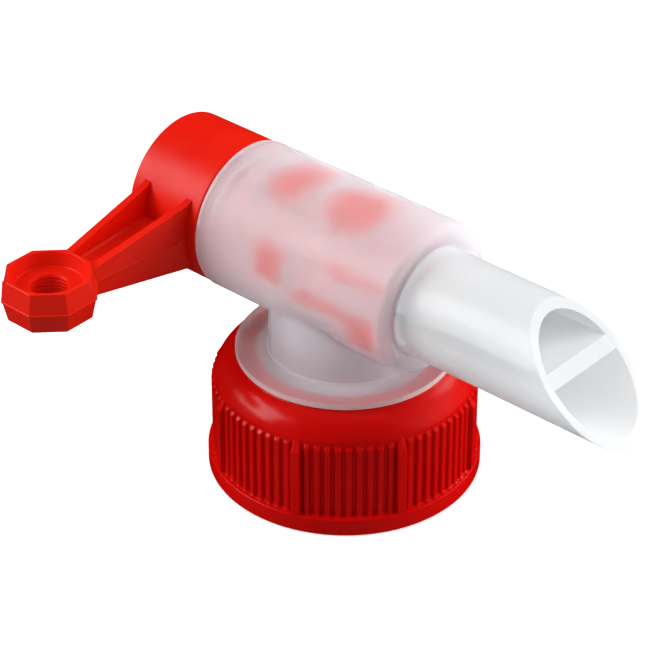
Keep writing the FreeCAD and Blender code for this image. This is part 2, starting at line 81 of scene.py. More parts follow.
def rounded(corners, steps=5, cyclic=True):
    """A profile from (a, b) or (a, b, rounding) corners, with each rounding made an arc."""
    points = []
    count = len(corners)
    for i, corner in enumerate(corners):
        here = np.array(corner[:2], float)
        size = corner[2] if len(corner) > 2 else 0.0
        if size <= 0 or (not cyclic and i in (0, count - 1)):
            points.append(here)
            continue
        before = np.array(corners[i - 1][:2], float) - here
        after = np.array(corners[(i + 1) % count][:2], float) - here
        before /= np.hypot(*before)
        after /= np.hypot(*after)
        half = acos(max(-1.0, min(1.0, float(before @ after)))) / 2
        reach = size / tan(half)
        middle = before + after
        middle /= np.hypot(*middle)
        centre = here + middle * size / sin(half)
        start = here + before * reach - centre
        end = here + after * reach - centre
        first = atan2(start[1], start[0])
        turn = atan2(start[0] * end[1] - start[1] * end[0], float(start @ end))
        for k in range(steps + 1):
            angle = first + turn * k / steps
            points.append(centre + size * np.array([cos(angle), sin(angle)]))
    return np.array(points)


def around(columns):
    """Evenly spaced angles of a full turn."""
    return np.linspace(0, 2 * pi, columns, endpoint=False)


def turned_z(profile, columns=192, centre=(0.0, 0.0)):
    """Loops of a (z, radius) profile turned about a vertical axis."""
    angles = around(columns)
    profile = np.asarray(profile)
    z = profile[:, 0:1] + 0 * angles
    r = profile[:, 1:2] + 0 * angles
    return np.stack([centre[0] + r * np.cos(angles), centre[1] + r * np.sin(angles), z], axis=-1)


def turned_y(profile, columns=192, height=0.0):
    """Loops of a (y, radius) profile turned about an axis along Y at a height."""
    angles = around(columns)
    profile = np.asarray(profile)
    y = profile[:, 0:1] + 0 * angles
    r = profile[:, 1:2] + 0 * angles
    return np.stack([r * np.cos(angles), y, height + r * np.sin(angles)], axis=-1)


def skin(loops, ends="join"):
    """Vertices and faces over loops of points. ends: join the last loop to the first, or cap them."""
    rows, columns, _ = loops.shape
    faces = []
    for i in range(rows if ends == "join" else rows - 1):
        a, b = i * columns, ((i + 1) % rows) * columns
        for j in range(columns):
            k = (j + 1) % columns
            faces.append((a + j, a + k, b + k, b + j))
    if ends == "cap":
        faces.append(tuple(range(columns)))
        faces.append(tuple((rows - 1) * columns + j for j in range(columns))[::-1])
    return loops.reshape(-1, 3), faces


def build(name, shapes, sharp=32.0):
    """One mesh object from shapes of (vertices, faces): outward normals, smooth but for sharp edges."""
    bm = bmesh.new()
    for points, faces in shapes:
        made = [bm.verts.new(Vector(point) * MM) for point in points]
        for face in faces:
            bm.faces.new([made[k] for k in face])
    bmesh.ops.remove_doubles(bm, verts=bm.verts, dist=1e-7)
    bmesh.ops.recalc_face_normals(bm, faces=bm.faces)
    mesh = bpy.data.meshes.new(name)
    bm.to_mesh(mesh)
    bm.free()
    return finished(name, mesh, sharp)


def finished(name, mesh, sharp=32.0):
    """An object for a mesh, smooth but for edges that turn by more than sharp degrees."""
    mesh.name = name
    for polygon in mesh.polygons:
        polygon.use_smooth = True
    mesh.set_sharp_from_angle(angle=radians(sharp))
    made = bpy.data.objects.new(name, mesh)
    bpy.context.scene.collection.objects.link(made)
    return made


def weighted(obj):
    """Keeps large faces flat next to their small roundings."""
    modifier = obj.modifiers.new("Flat faces", "WEIGHTED_NORMAL")
    modifier.keep_sharp = True
    modifier.weight = 80
    return obj


def combined(name, base, steps, sharp=32.0):
    """Applies (operation, object) booleans to base in order and returns one new object."""
    for operation, other in steps:
        modifier = base.modifiers.new(operation, "BOOLEAN")
        modifier.operation = operation
        modifier.solver = "EXACT"
        modifier.object = other
    bpy.context.view_layer.update()
    result = base.evaluated_get(bpy.context.evaluated_depsgraph_get())
    mesh = bpy.data.meshes.new_from_object(result)
    for used in [base] + [other for _, other in steps]:
        bpy.data.objects.remove(used)
    return finished(name, mesh, sharp)


def rounded_edges(obj, width, sharper_than=25.0, segments=3):
    """Rounds the edges of a simple mesh that turn by more than an angle."""
    bm = bmesh.new()
    bm.from_mesh(obj.data)
    edges = [e for e in bm.edges if len(e.link_faces) == 2
             and e.calc_face_angle(0) > radians(sharper_than)]
    bmesh.ops.bevel(bm, geom=edges, offset=width * MM, segments=segments, profile=0.5, affect="EDGES")
    bm.to_mesh(obj.data)
    bm.free()
    for polygon in obj.data.polygons:
        polygon.use_smooth = True
    obj.data.set_sharp_from_angle(angle=radians(40))
    return obj


def joined(name, objects):
    """One object from several, each with its modifiers applied."""
    bpy.context.view_layer.update()
    deps = bpy.context.evaluated_depsgraph_get()
    bm = bmesh.new()
    for part in objects:
        bm.from_mesh(bpy.data.meshes.new_from_object(part.evaluated_get(deps)))
    mesh = bpy.data.meshes.new(name)
    bm.to_mesh(mesh)
    bm.free()
    for part in objects:
        bpy.data.objects.remove(part)
    made = bpy.data.objects.new(name, mesh)
    mesh.set_sharp_from_angle(angle=radians(35))
    bpy.context.scene.collection.objects.link(made)
    return made


# ------------------------------------------------------------------------------- materials

def new_material(name, **values):
    """A Principled material with uniform values, given by socket name."""
    material = bpy.data.materials.new(name)
    material.use_nodes = True
    shader = material.node_tree.nodes["Principled BSDF"]
    for socket, value in values.items():
        shader.inputs[socket.replace("_", " ")].default_value = value
    return material, material.node_tree, shader


# most of a noise texture's values lie between these two
noise_low, noise_high = 0.3, 0.7


def texture(tree, scale, detail):
    """Noise in the object's own coordinates."""
    place = tree.nodes.new("ShaderNodeTexCoord")
    node = tree.nodes.new("ShaderNodeTexNoise")
    node.inputs["Scale"].default_value = scale
    node.inputs["Detail"].default_value = detail
    tree.links.new(place.outputs["Object"], node.inputs["Vector"])
    return node.outputs["Fac"]


def ramp(tree, source, low, high):
    """Maps a noise texture's value to a colour between low and high."""
    node = tree.nodes.new("ShaderNodeValToRGB")
    node.color_ramp.elements[0].position = noise_low
    node.color_ramp.elements[1].position = noise_high
    node.color_ramp.elements[0].color = low
    node.color_ramp.elements[1].color = high
    tree.links.new(source, node.inputs["Fac"])
    return node.outputs["Color"]


def span(tree, source, low, high):
    """Maps a noise texture's value to a number between low and high."""
    node = tree.nodes.new("ShaderNodeMapRange")
    node.inputs["From Min"].default_value = noise_low
    node.inputs["From Max"].default_value = noise_high
    node.inputs["To Min"].default_value = low
    node.inputs["To Max"].default_value = high
    tree.links.new(source, node.inputs["Value"])
    return node.outputs["Result"]


def bump(tree, source, strength, distance):
    """Small relief from a value. The distance is in metres."""
    node = tree.nodes.new("ShaderNodeBump")
    node.inputs["Strength"].default_value = strength
    node.inputs["Distance"].default_value = distance
    tree.links.new(source, node.inputs["Height"])
    return node.outputs["Normal"]


def red_plastic(name, dark, light, smoothest, roughest):
    """Opaque moulded polyethylene: satin gloss with a faint grain and slightly uneven colour."""
    material, tree, shader = new_material(
        name, IOR=1.5, Specular_IOR_Level=0.18, Subsurface_Weight=0.12, Subsurface_Scale=0.0015,
        Subsurface_Radius=(1.0, 0.12, 0.06))
    clouds = texture(tree, 55.0, 2.0)
    tree.links.new(ramp(tree, clouds, dark, light), shader.inputs["Base Color"])
    tree.links.new(span(tree, texture(tree, 240.0, 3.0), smoothest, roughest), shader.inputs["Roughness"])
    tree.links.new(bump(tree, texture(tree, 2600.0, 2.0), 0.10, 0.00006), shader.inputs["Normal"])
    return material


def frosted_plastic(name, clear, roughness, dark, light):
    """Natural polyethylene: frosted and translucent, with a faint cloudiness."""
    material, tree, shader = new_material(
        name, IOR=1.45, Roughness=roughness, Transmission_Weight=clear,
        Coat_Weight=0.3, Coat_Roughness=0.36)
    clouds = texture(tree, 70.0, 3.0)
    tree.links.new(ramp(tree, clouds, dark, light), shader.inputs["Base Color"])
    tree.links.new(bump(tree, texture(tree, 1800.0, 2.0), 0.12, 0.00006), shader.inputs["Normal"])
    return material


def foam(name):
    """Soft white sealing foam with fine cells."""
    material, tree, shader = new_material(name, Roughness=0.8)
    cells = texture(tree, 2200.0, 2.0)
    colour = ramp(tree, cells, (0.70, 0.70, 0.68, 1), (0.86, 0.86, 0.84, 1))
    tree.links.new(colour, shader.inputs["Base Color"])
    tree.links.new(bump(tree, cells, 0.4, 0.0002), shader.inputs["Normal"])
    return material


cap_red = red_plastic("CapRed", (0.58, 0.001, 0.0003, 1), (0.65, 0.002, 0.0006, 1), 0.20, 0.27)
plug_red = red_plastic("PlugRed", (0.70, 0.007, 0.001, 1), (0.77, 0.012, 0.002, 1), 0.34, 0.42)
frosted = frosted_plastic("Frosted", 0.76, 0.85, (0.89, 0.915, 0.95, 1), (0.925, 0.95, 0.98, 1))
# a less clear, lighter copy of the body's one material: its lighter colour is painted light for the spout
# and the disc's rim
brightened_frosted = frosted_plastic("FrostedSpoutBrightened", 0.46, 0.48, (0.955, 0.975, 0.99, 1), (0.98, 0.993, 1.0, 1))
seal_foam = foam("SealFoam")


# ------------------------------------------------------------------------------- screw cap

def smooth(value):
    """Eases from 0 to 1 as value goes from 0 to 1."""
    value = np.clip(value, 0.0, 1.0)
    return value * value * (3 - 2 * value)


_, cap_high = node_box("screw_cap")
flange_radius = 30.0
panel_top = cap_high.z
valley_radius = 28.3
rib_radius = 29.0
bar_radius = 29.85
ledge_height = 4.25
bore_radius = mounts["neck_thread"]["dims"]["r_mm"]
bore_depth = mounts["neck_thread"]["dims"]["length_mm"]
shoulder_radius = 8.2
disc_land_radius = 23.2
cap_hole_radius = 19.0
panel_under = 24.7
seat_radius = 25.3
# degrees from +X to the first wide bar
cap_turn = 20.3
rib_count = 80
bar_count = 8


def cap_shell():
    """Flange, skirt with fine ribs and wide bars, rounded shoulder, holed panel, bore and seat."""
    per_pitch = 22
    rib_half, rib_flank = 0.80, 0.30
    bar_half, bar_flank, bar_clearance = 1.22, 0.26, 1.4
    columns = rib_count * per_pitch
    angles = around(columns)
    # distance along the skirt to the nearest fine rib's and the nearest bar's middle
    pitch, bar_pitch = 2 * pi / rib_count, 2 * pi / bar_count
    turn = angles - radians(cap_turn)
    to_rib = np.abs((turn + pitch / 2) % pitch - pitch / 2) * rib_radius
    to_bar = np.abs((turn + bar_pitch / 2) % bar_pitch - bar_pitch / 2) * bar_radius
    rib_shape = smooth((rib_half - to_rib) / rib_flank) * (to_bar > bar_clearance)

    centre_r = valley_radius + 0.45 - shoulder_radius
    centre_z = panel_top - shoulder_radius
    meets = acos((valley_radius - centre_r) / shoulder_radius)
    arc = [(centre_z + shoulder_radius * sin(t), centre_r + shoulder_radius * cos(t))
           for t in np.linspace(meets, pi / 2, 30)]
    skirt_top = arc[0][0]
    # the disc rests on a land that is a little higher than the shoulder's outer part
    arc = [(z, r) for z, r in arc if r > disc_land_radius + 0.2]
    arc += [(panel_top - 0.42, disc_land_radius + 0.1), (panel_top - 0.12, disc_land_radius + 0.05),
            (panel_top, disc_land_radius - 0.1)]

    def flat(profile):
        return [(np.full(columns, z), np.full(columns, r)) for z, r in profile]

    rows = flat(rounded([
        (0.0, bore_radius, 0.4), (0.0, flange_radius, 0.45), (ledge_height - 0.12, flange_radius, 0.3),
        (ledge_height, 28.4)], steps=5, cyclic=False)[1:-1])
    rib_slope_from = 21.35
    bar_slope_from, bar_top = 20.2, 22.6
    skirt = np.concatenate([
        [ledge_height + 0.02, ledge_height + 0.1, ledge_height + 0.25, 5.0, 6.0],
        np.linspace(8.0, 19.0, 6), np.linspace(19.2, skirt_top, 26)])
    for z in skirt:
        foot = smooth((z - ledge_height) / 0.25)
        rib_end = 1 - np.clip((z - rib_slope_from) / 0.75, 0, 1)
        bar_end = np.clip((z - bar_slope_from) / (bar_top - bar_slope_from), 0, 1)
        low = valley_radius + 0.15 * (1 - foot)
        base = low + 0 * angles
        fine = base + (rib_radius - valley_radius) * rib_shape * rib_end
        bar = bar_radius - 1.5 * bar_end
        wide = base + np.maximum(bar - base, 0) * smooth((bar_half - 0.4 * bar_end - to_bar) / bar_flank)
        rows.append((np.full(columns, z), np.maximum(fine, wide)))
    rows += flat(arc[1:])
    inner = rounded([
        (panel_top, 21.0), (panel_top, cap_hole_radius, 0.4), (panel_under, cap_hole_radius, 0.3),
        (panel_under, seat_radius, 0.3), (bore_depth, seat_radius, 0.1),
        (bore_depth, bore_radius, 0.1), (0.0, bore_radius, 0.5),
        (0.0, 27.5)], steps=4, cyclic=False)
    rows += flat(inner)
    loops = np.stack([
        np.stack([r * np.cos(angles), r * np.sin(angles), z], axis=-1) for z, r in rows])
    return skin(loops)


def thread_ridge(radius, height, depth, pitch, low, high, columns=64):
    """A trapezoid ridge that winds up the inside of the bore, tapered at its two ends."""
    turns = (high - low) / pitch
    count = int(turns * columns)
    loops = []
    for i in range(count + 1):
        share = i / count
        angle = 2 * pi * turns * share
        middle = low + (high - low) * share
        fade = float(smooth(min(share, 1 - share) * turns * 5))
        tip = radius - depth * fade
        loops.append([
            (r * cos(angle), r * sin(angle), z) for r, z in (
                (radius + 0.3, middle - height), (tip + 0.12, middle - height * 0.45),
                (tip, middle - height * 0.3), (tip, middle + height * 0.3),
                (tip + 0.12, middle + height * 0.45), (radius + 0.3, middle + height))])
    return skin(np.array(loops), "cap")


screw_cap = weighted(build("ScrewCap", [cap_shell()], sharp=60.0))
screw_cap.data.materials.append(cap_red)
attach(screw_cap, "screw_cap")
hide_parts("screw_cap")

cap_thread = build("CapThread", [thread_ridge(
    bore_radius, height=1.3, depth=1.1, pitch=6.0, low=3.0, high=18.6)])
cap_thread.data.materials.append(cap_red)
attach(cap_thread, "screw_cap")


# ------------------------------------------------------------------------------- tap body

axis_height = hinges["lever_turn"]["pos_m"][2] / MM
_, body_high = node_box("tap_body")
barrel_radius = body_high.z - axis_height
barrel_rear = body_high.y
barrel_front = -24.2
barrel_bore = 14.8
spout_height = mounts["spout_outside"]["pos_m"][2] / MM
spout_radius = mounts["spout_outside"]["dims"]["r_mm"]
channel_radius = 10.2
tip_cut = 64.0
front_wall = 2.2
# the flat rim of the front face ends here
face_radius = 15.2
snap_groove_radius = 15.45
neck_radius = 16.4
neck_bore = 14.3
disc_radius = 23.7
disc_under = 28.27
disc_top = 29.68
collar_radius = 18.7
collar_bore = 16.2
collar_low = 20.6
snap_radius = 19.6
divider_half = 1.25
liquid_port_y, liquid_port_radius = -4.7, 4.6
air_port_y, air_port_radius = 11.1, 2.7


def barrel_and_spout():
    """The barrel, its front wall and the cut spout as one closed shell."""
    columns = 224
    angles = around(columns)

    def loop(y, radius, height):
        return np.stack([
            radius * np.cos(angles), y + 0 * angles, height + radius * np.sin(angles)], axis=-1)

    def on_cut(radius, back):
        """A loop at the 45 degree cut, set back along the spout."""
        across = radius * np.sin(angles)
        return np.stack([
            radius * np.cos(angles), -tip_cut + across + back, spout_height + across], axis=-1)

    loops = []
    # fine turned grooves near the rear rim
    grooves = []
    for y in (26.5, 25.2, 23.9, 22.3):
        grooves += [(y + 0.12, barrel_radius), (y, barrel_radius - 0.05), (y - 0.12, barrel_radius)]
    # from the bore's mouth over the rear rim to the front edge, about the barrel's axis
    outside = rounded([
        (barrel_rear - 0.5, barrel_bore), (barrel_rear, barrel_bore + 0.5, 0.15),
        (barrel_rear, barrel_radius, 0.4), *grooves,
        (barrel_front, barrel_radius, 1.5), (barrel_front, face_radius)], steps=8, cyclic=False)
    loops += [loop(y, r, axis_height) for y, r in outside[1:]]
    # the front face dips to a valley round the spout, and its circles move over to the spout's axis
    face = [(15.0, 0.02), (14.5, 0.09), (14.0, 0.22), (13.5, 0.42), (13.0, 0.66), (12.7, 0.78),
            (12.45, 0.83), (12.25, 0.78), (12.12, 0.62), (spout_radius, 0.40)]
    for radius, depth in face:
        share = float(smooth((face_radius - radius) / 2.6))
        height = axis_height + (spout_height - axis_height) * share
        loops.append(loop(barrel_front + depth, radius, height))
    loops.append(loop(barrel_front - 2, spout_radius, spout_height))
    root = loops[-1]
    outer_edge = on_cut(spout_radius, 0.22)
    for share in np.linspace(0, 1, 10)[1:]:
        loops.append(root + (outer_edge - root) * share)
    loops += [on_cut(spout_radius - 0.03, 0.10), on_cut(spout_radius - 0.12, 0.02),
              on_cut(spout_radius - 0.25, 0.0)]
    loops += [on_cut(channel_radius + 0.25, 0.0), on_cut(channel_radius + 0.12, 0.02),
              on_cut(channel_radius + 0.03, 0.10)]
    inner_edge = on_cut(channel_radius, 0.22)
    inner_root = loop(barrel_front + front_wall - 0.3, channel_radius, spout_height)
    for share in np.linspace(0, 1, 10):
        loops.append(inner_edge + (inner_root - inner_edge) * share)
    loops.append(loop(barrel_front + front_wall, channel_radius + 0.3, spout_height + 0.1))
    snap_groove = [(24.04, barrel_bore), (24.34, snap_groove_radius),
                   (25.94, snap_groove_radius), (26.24, barrel_bore)]
    bore = rounded([
        (barrel_front + front_wall, channel_radius + 1.5), (barrel_front + front_wall, barrel_bore, 0.4),
        *snap_groove, (barrel_rear - 0.5, barrel_bore)], steps=4, cyclic=False)
    loops += [loop(y, r, axis_height) for y, r in bore]
    return skin(np.array(loops))


def stem():
    """Neck, disc and collar as one tube."""
    return skin(turned_z(rounded([
        (collar_low, collar_bore, 0.2), (collar_low, 18.6, 0.3), (21.5, snap_radius, 0.2),
        (22.1, snap_radius, 0.2), (22.6, collar_radius, 0.1), (disc_under, collar_radius, 0.15),
        (disc_under, disc_radius, 0.2), (disc_top, disc_radius, 0.2), (disc_top, 16.95, 0.15),
        (29.93, 16.8, 0.1), (29.98, neck_radius, 0.2), (46.0, neck_radius),
        (46.0, neck_bore), (30.4, neck_bore, 1.0), (28.4, collar_bore, 1.0)], steps=6), columns=224))


def divider():
    """The plate that splits the spout, rising a little towards the tip."""
    half_width = channel_radius + 0.7
    root_y, root_z = barrel_front + front_wall, axis_height + 0.33
    tip_y = -70.0
    tip_z = axis_height + 1.73

    def corner(x, y, side):
        middle = root_z + (tip_z - root_z) * (y - root_y) / (tip_y - root_y)
        return (x, y, middle + side * divider_half)

    def cut_y(side):
        """Where the plate's upper or lower face meets the cut."""
        y = -tip_cut
        for _ in range(20):
            y = -tip_cut + corner(0, y, side)[2] - spout_height + 0.06
        return y

    ends = []
    for y_low, y_high in ((root_y + 0.2, root_y + 0.2), (cut_y(-1), cut_y(1))):
        ends.append([corner(-half_width, y_low, -1), corner(half_width, y_low, -1),
                     corner(half_width, y_high, 1), corner(-half_width, y_high, 1)])
    return skin(np.array(ends), "cap")


def rod(radius, low, high, centre, axis="z", columns=96):
    """A plain closed cylinder used as a cutter."""
    profile = [(low, radius), (high, radius)]
    if axis == "z":
        loops = turned_z(profile, columns, centre)
    else:
        loops = turned_y(profile, columns, centre[1])
    return skin(loops, "cap")


# the neck ends inside the barrel's wall
wall_middle = 15.9
neck = combined("Neck", build("StemShape", [stem()]), [
    ("DIFFERENCE", build("BarrelCutter", [rod(wall_middle, -40, 40, (0, axis_height), "y", 224)]))])
tap_body = combined("TapBody", build("BarrelShape", [barrel_and_spout()]), [
    ("UNION", neck),
    ("DIFFERENCE", build("LiquidPort", [
        rod(liquid_port_radius, 30, axis_height, (0, liquid_port_y))])),
    ("DIFFERENCE", build("AirPort", [
        rod(air_port_radius, 30, axis_height, (0, air_port_y))])),
    ("UNION", build("DividerShape", [divider()])),
])
weighted(tap_body)
tap_body.data.materials.clear()
tap_body.data.materials.append(frosted)
tap_body.data.materials.append(brightened_frosted)
# the spout and the disc's rim take a copy of the body's material that is less clear and lighter in
# colour; the lighter colour is painted light that brightens them
for polygon in tap_body.data.polygons:
    spot = polygon.center / MM
    from_spout_axis = hypot(spot.x, spot.z - spout_height)
    on_spout = spot.y < barrel_front + 0.2 and from_spout_axis < spout_radius + 0.05
    on_rim = spot.z < 29.6 and hypot(spot.x, spot.y) > 23.5
    if on_spout or on_rim:
        polygon.material_index = 1
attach(tap_body, "tap_body")
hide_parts("tap_body")

gasket_low, gasket_high = node_box("gasket")
gasket_hole_radius = 18.75
gasket = weighted(build("Gasket", [skin(turned_z(rounded([
    (gasket_low.z, gasket_hole_radius, 0.3), (gasket_low.z, gasket_high.x, 0.4),
    (gasket_high.z, gasket_high.x, 0.4), (gasket_high.z, gasket_hole_radius, 0.3)])))]))
gasket.data.materials.append(seal_foam)
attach(gasket, "tap_body")
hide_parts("gasket")


# ------------------------------------------------------------------------------- valve plug

_, plug_high = node_box("valve_plug")
knob_rear = plug_high.y
knob_front = 28.2
knob_radius = 16.65
core_radius = 12.3
land_radius = 14.74
lip_radius = 14.7
rotor_bore = 10.3
rotor_front = -21.4
chamber_rear = 14.7
wall = 2.2
bead_radius = 15.05
knob_hollow_rear, knob_hollow_front = 14.5, 14.2
lever_end = -43.0
rib_thickness = 2.0
eye_x, lever_y, _ = (value / MM for value in mounts["lever_eye"]["pos_m"])
eye_hole = mounts["lever_eye"]["dims"]["r_mm"]


def rotor_and_knob():
    """The turned part of the plug, hollow from the front and from the rear."""
    lip, bead = knob_front - 9, barrel_rear - 2.8
    journal = core_radius + 1.4
    profile = rounded([
        (rotor_front, rotor_bore, 0.2), (rotor_front, core_radius, 0.3),
        (lip - 0.8, core_radius, 0.3), (lip - 0.4, lip_radius, 0.15), (lip + 0.4, lip_radius, 0.15),
        (lip + 0.8, journal, 0.2), (bead - 0.7, journal), (bead - 0.3, bead_radius, 0.1),
        (bead + 0.2, bead_radius, 0.1), (bead + 0.7, journal), (knob_front, journal, 0.1),
        (knob_front, knob_radius, 0.35), (knob_rear, knob_radius, 0.45),
        (knob_rear, knob_hollow_rear, 0.4), (knob_front + wall, knob_hollow_front, 0.8),
        (knob_front + wall, rotor_bore, 0.5),
        (chamber_rear + wall, rotor_bore, 1.2), (chamber_rear + wall, 0.05),
        (chamber_rear, 0.05), (chamber_rear, rotor_bore, 1.0)], steps=5)
    return skin(turned_y(profile, 256, axis_height))


def pad(y, direction, half_y, half_s, corner, window=0.0, soft=4.6):
    """A land on the rotor: a rounded patch that follows the bore, with an optional round window.

    The direction is an angle about the axis in degrees: 0 is +X and 90 is up. half_y and half_s are
    half its sizes along the axis and round it, and corner is the radius of its corners. Its top is
    finely uneven, and over the width soft it presses on the wall less and less towards its edge.
    """
    rim = 0.25
    around_steps, rings = 120, 30
    corner = min(corner, half_y, half_s)
    straight_s, straight_y = half_s - corner, half_y - corner
    quarter = corner * pi / 2
    sides = [(2 * straight_y, (half_s, -straight_y), (0, 1), None), (quarter, None, None, (1, 1)),
             (2 * straight_s, (straight_s, half_y), (-1, 0), None), (quarter, None, None, (-1, 1)),
             (2 * straight_y, (-half_s, straight_y), (0, -1), None), (quarter, None, None, (-1, -1)),
             (2 * straight_s, (-straight_s, -half_y), (1, 0), None), (quarter, None, None, (1, -1))]
    total = sum(side[0] for side in sides)
    edge = []
    for k in range(around_steps):
        along = total * k / around_steps
        number = 0
        while along > sides[number][0]:
            along -= sides[number][0]
            number += 1
        _, start, step, signs = sides[number]
        if signs is None:
            edge.append((start[0] + step[0] * along, start[1] + step[1] * along))
        else:
            turn = radians({(1, 1): 0, (-1, 1): 90, (-1, -1): 180, (1, -1): 270}[signs]) + along / corner
            edge.append((signs[0] * straight_s + corner * cos(turn),
                         signs[1] * straight_y + corner * sin(turn)))
    edge = np.array(edge)

    def wrapped(points, radius):
        angle = radians(direction) + points[:, 0] / barrel_bore
        return np.stack([radius * np.cos(angle), y + points[:, 1],
                         axis_height + radius * np.sin(angle)], axis=-1)

    def top_radius(points):
        """The pressed height: above the bore in the middle, mostly below it at the edge."""
        out = []
        for place, (s_here, y_here) in zip(wrapped(points, barrel_bore), points):
            inside = min(half_s - abs(s_here), half_y - abs(y_here))
            from_corner = hypot(max(abs(s_here) - straight_s, 0), max(abs(y_here) - straight_y, 0))
            inside = min(inside, corner - from_corner) if from_corner > 0 else inside
            if window:
                inside = min(inside, hypot(s_here, y_here) - window)
            press = min(max(inside / soft, 0.0), 1.0) if not window else min(inside / 0.6, 1.0)
            grain = noise.noise(Vector(place) / 0.5)
            out.append(barrel_bore + min(max(0.05 * (2.2 * grain + 1.1 * press - 0.40), -0.03), 0.04))
        return np.array(out)

    loops = [wrapped(edge, core_radius - 0.6), wrapped(edge, land_radius - rim)]
    inner = window / np.hypot(edge[:, 0], edge[:, 1])[:, None] if window else 0.0
    for share in np.linspace(1.0, 0.02 if not window else 0.0, rings):
        points = edge * share if not window else edge * (share + (1 - share) * inner)
        loops.append(wrapped(points, top_radius(points)))
    if window:
        loops.append(wrapped(edge * inner, core_radius - 0.6))
        return skin(np.array(loops))
    return skin(np.array(loops), "cap")


def arc_pad(first_y, last_y, first_degree, last_degree):
    """A guide land given by its ends along the axis and round it. Its edge is firmer than a pad's."""
    half_s = radians(last_degree - first_degree) / 2 * barrel_bore
    return pad((first_y + last_y) / 2, (first_degree + last_degree) / 2,
               (last_y - first_y) / 2, half_s, min(2.0, half_s * 0.9), soft=3.4)


def block(low, high):
    """A plain box."""
    x0, y0, z0 = low
    x1, y1, z1 = high
    return skin(np.array([
        [(x0, y, z0), (x1, y, z0), (x1, y, z1), (x0, y, z1)] for y in (y0, y1)], float), "cap")


def rib_outside(x):
    """How far a lever rib's outer face lies from the lever's middle plane."""
    return 7.27 - 0.0823 * (-13.0 - x)


def lever_rib(side):
    """One upright rib, thickest at its parting line, with a small facet where it meets the knob."""
    loops = []
    ledge = 0.22
    facet_from, half_at_facet, half_at_knob = -16.0, 7.83, 8.43
    # the inner end stays within the knob's wall
    for x, wall_radius in ((lever_end, 15.6), (facet_from, 15.6), (-14.65, 15.6), (-12.0, 15.2)):
        outer = rib_outside(x)
        half = half_at_facet + 0.17375 * (x - facet_from) if x <= facet_from else half_at_knob
        section = []
        for across, up in ((outer - 0.14, half), (outer, 0.14), (outer + ledge, 0.1), (outer, -0.11),
                           (outer - 0.14, -half), (outer - rib_thickness, -half),
                           (outer - rib_thickness - 0.14, 0.0), (outer - rib_thickness, half)):
            wall_x = -sqrt(wall_radius ** 2 - up ** 2)
            section.append((min(x, wall_x), lever_y + side * across, axis_height + up))
        loops.append(section)
    return skin(np.array(loops), "cap")


def lever_web():
    """The web between the ribs, with a fillet along each rib."""
    loops = []
    for x in (lever_end, -15.2):
        inner = rib_outside(x) - rib_thickness
        top = [(inner + 0.5, 1.9), (inner - 0.02, 1.75), (inner - 0.25, 1.28), (inner - 0.75, 1.04),
               (inner - 1.2, 1.0)]
        top += [(-y, z) for y, z in top[::-1]]
        section = top + [(y, -z) for y, z in top[::-1]]
        loops.append([(x, lever_y + y, axis_height + z) for y, z in section])
    return skin(np.array(loops), "cap")


def octagon(flat, rounding):
    """Polar radii of an eight-sided outline with rounded corners, and their angles."""
    corner = radians(22.5)
    tangent = atan2((flat - rounding) * tan(corner), flat)
    centre = (flat - rounding) / cos(corner)
    half = [tangent * share for share in (0, 0.3, 0.6, 0.85, 1.0)]
    half += [tangent + (corner - tangent) * share for share in (0.35, 0.7)]
    angles, radii = [], []
    for k in range(8):
        for local in [-value for value in half[:0:-1]] + half + [corner]:
            away = corner - abs(local)
            if abs(local) <= tangent + 1e-9:
                radius = flat / cos(local)
            else:
                radius = centre * cos(away) + sqrt(max(rounding ** 2 - (centre * sin(away)) ** 2, 0))
            angles.append(k * pi / 4 + local)
            radii.append(radius)
    return np.array(angles), np.array(radii)


def eye():
    """Eight-sided eye, widest at its parting line, recessed above a ringed hole and solid below."""
    flat, top_flat, half_height = 9.68, 8.74, 4.68
    rim_radius, floor_radius, floor = 8.15, 7.2, 1.5
    ledge, corner = 0.26, 0.4
    ring_depth, ring_pitch = 0.1, 0.85
    side = rounded([(flat, 0.16), (flat - 0.035, 0.33), (top_flat, half_height, 0.34),
                    (7.9, half_height)], cyclic=False)
    recess = rounded([(8.5, half_height), (rim_radius, half_height, 0.25), (floor_radius, floor, 0.4),
                      (eye_hole + 0.12, floor, 0.16), (eye_hole - 0.1, 1.05)], cyclic=False)[1:]
    under = rounded([(flat, -0.1), (flat - 0.035, -0.27), (top_flat, -half_height, 0.34),
                     (6.0, -half_height)], cyclic=False)
    profile = [("flat", flat + ledge, 0.11)] + [("flat", a, z) for a, z in side[:-1]]
    profile += [("round", a, z) for a, z in recess]
    # fine turned rings down the hole
    for z in np.arange(0.95, -4.1, -0.11):
        profile.append(("round", eye_hole - ring_depth * (1 + cos(z * 2 * pi / ring_pitch)), z))
    profile += [("round", eye_hole + 0.05, -4.3), ("round", eye_hole + 0.4, -half_height)]
    profile += [("flat", a, z) for a, z in under[::-1]] + [("flat", flat + ledge, -0.02)]
    loops = []
    angles, _ = octagon(flat, corner)
    for kind, size, z in profile:
        radii = octagon(size, corner)[1] if kind == "flat" else np.full(len(angles), size)
        loops.append(np.stack([
            eye_x + radii * np.cos(angles), lever_y + radii * np.sin(angles),
            axis_height + z + 0 * angles], axis=-1))
    return skin(np.array(loops))


def side_hole(y, radius):
    """A cutter for a round hole in the rotor's +X side."""
    return skin(np.array([
        [(x, y + radius * cos(t), axis_height + radius * sin(t)) for t in around(96)]
        for x in (4.0, 16.0)]), "cap")


core = combined("Core", build("CoreShape", [rotor_and_knob()]), [
    ("DIFFERENCE", build("LiquidWindow", [side_hole(liquid_port_y, liquid_port_radius)])),
    ("DIFFERENCE", build("AirWindow", [side_hole(air_port_y, air_port_radius)])),
])
weighted(core)
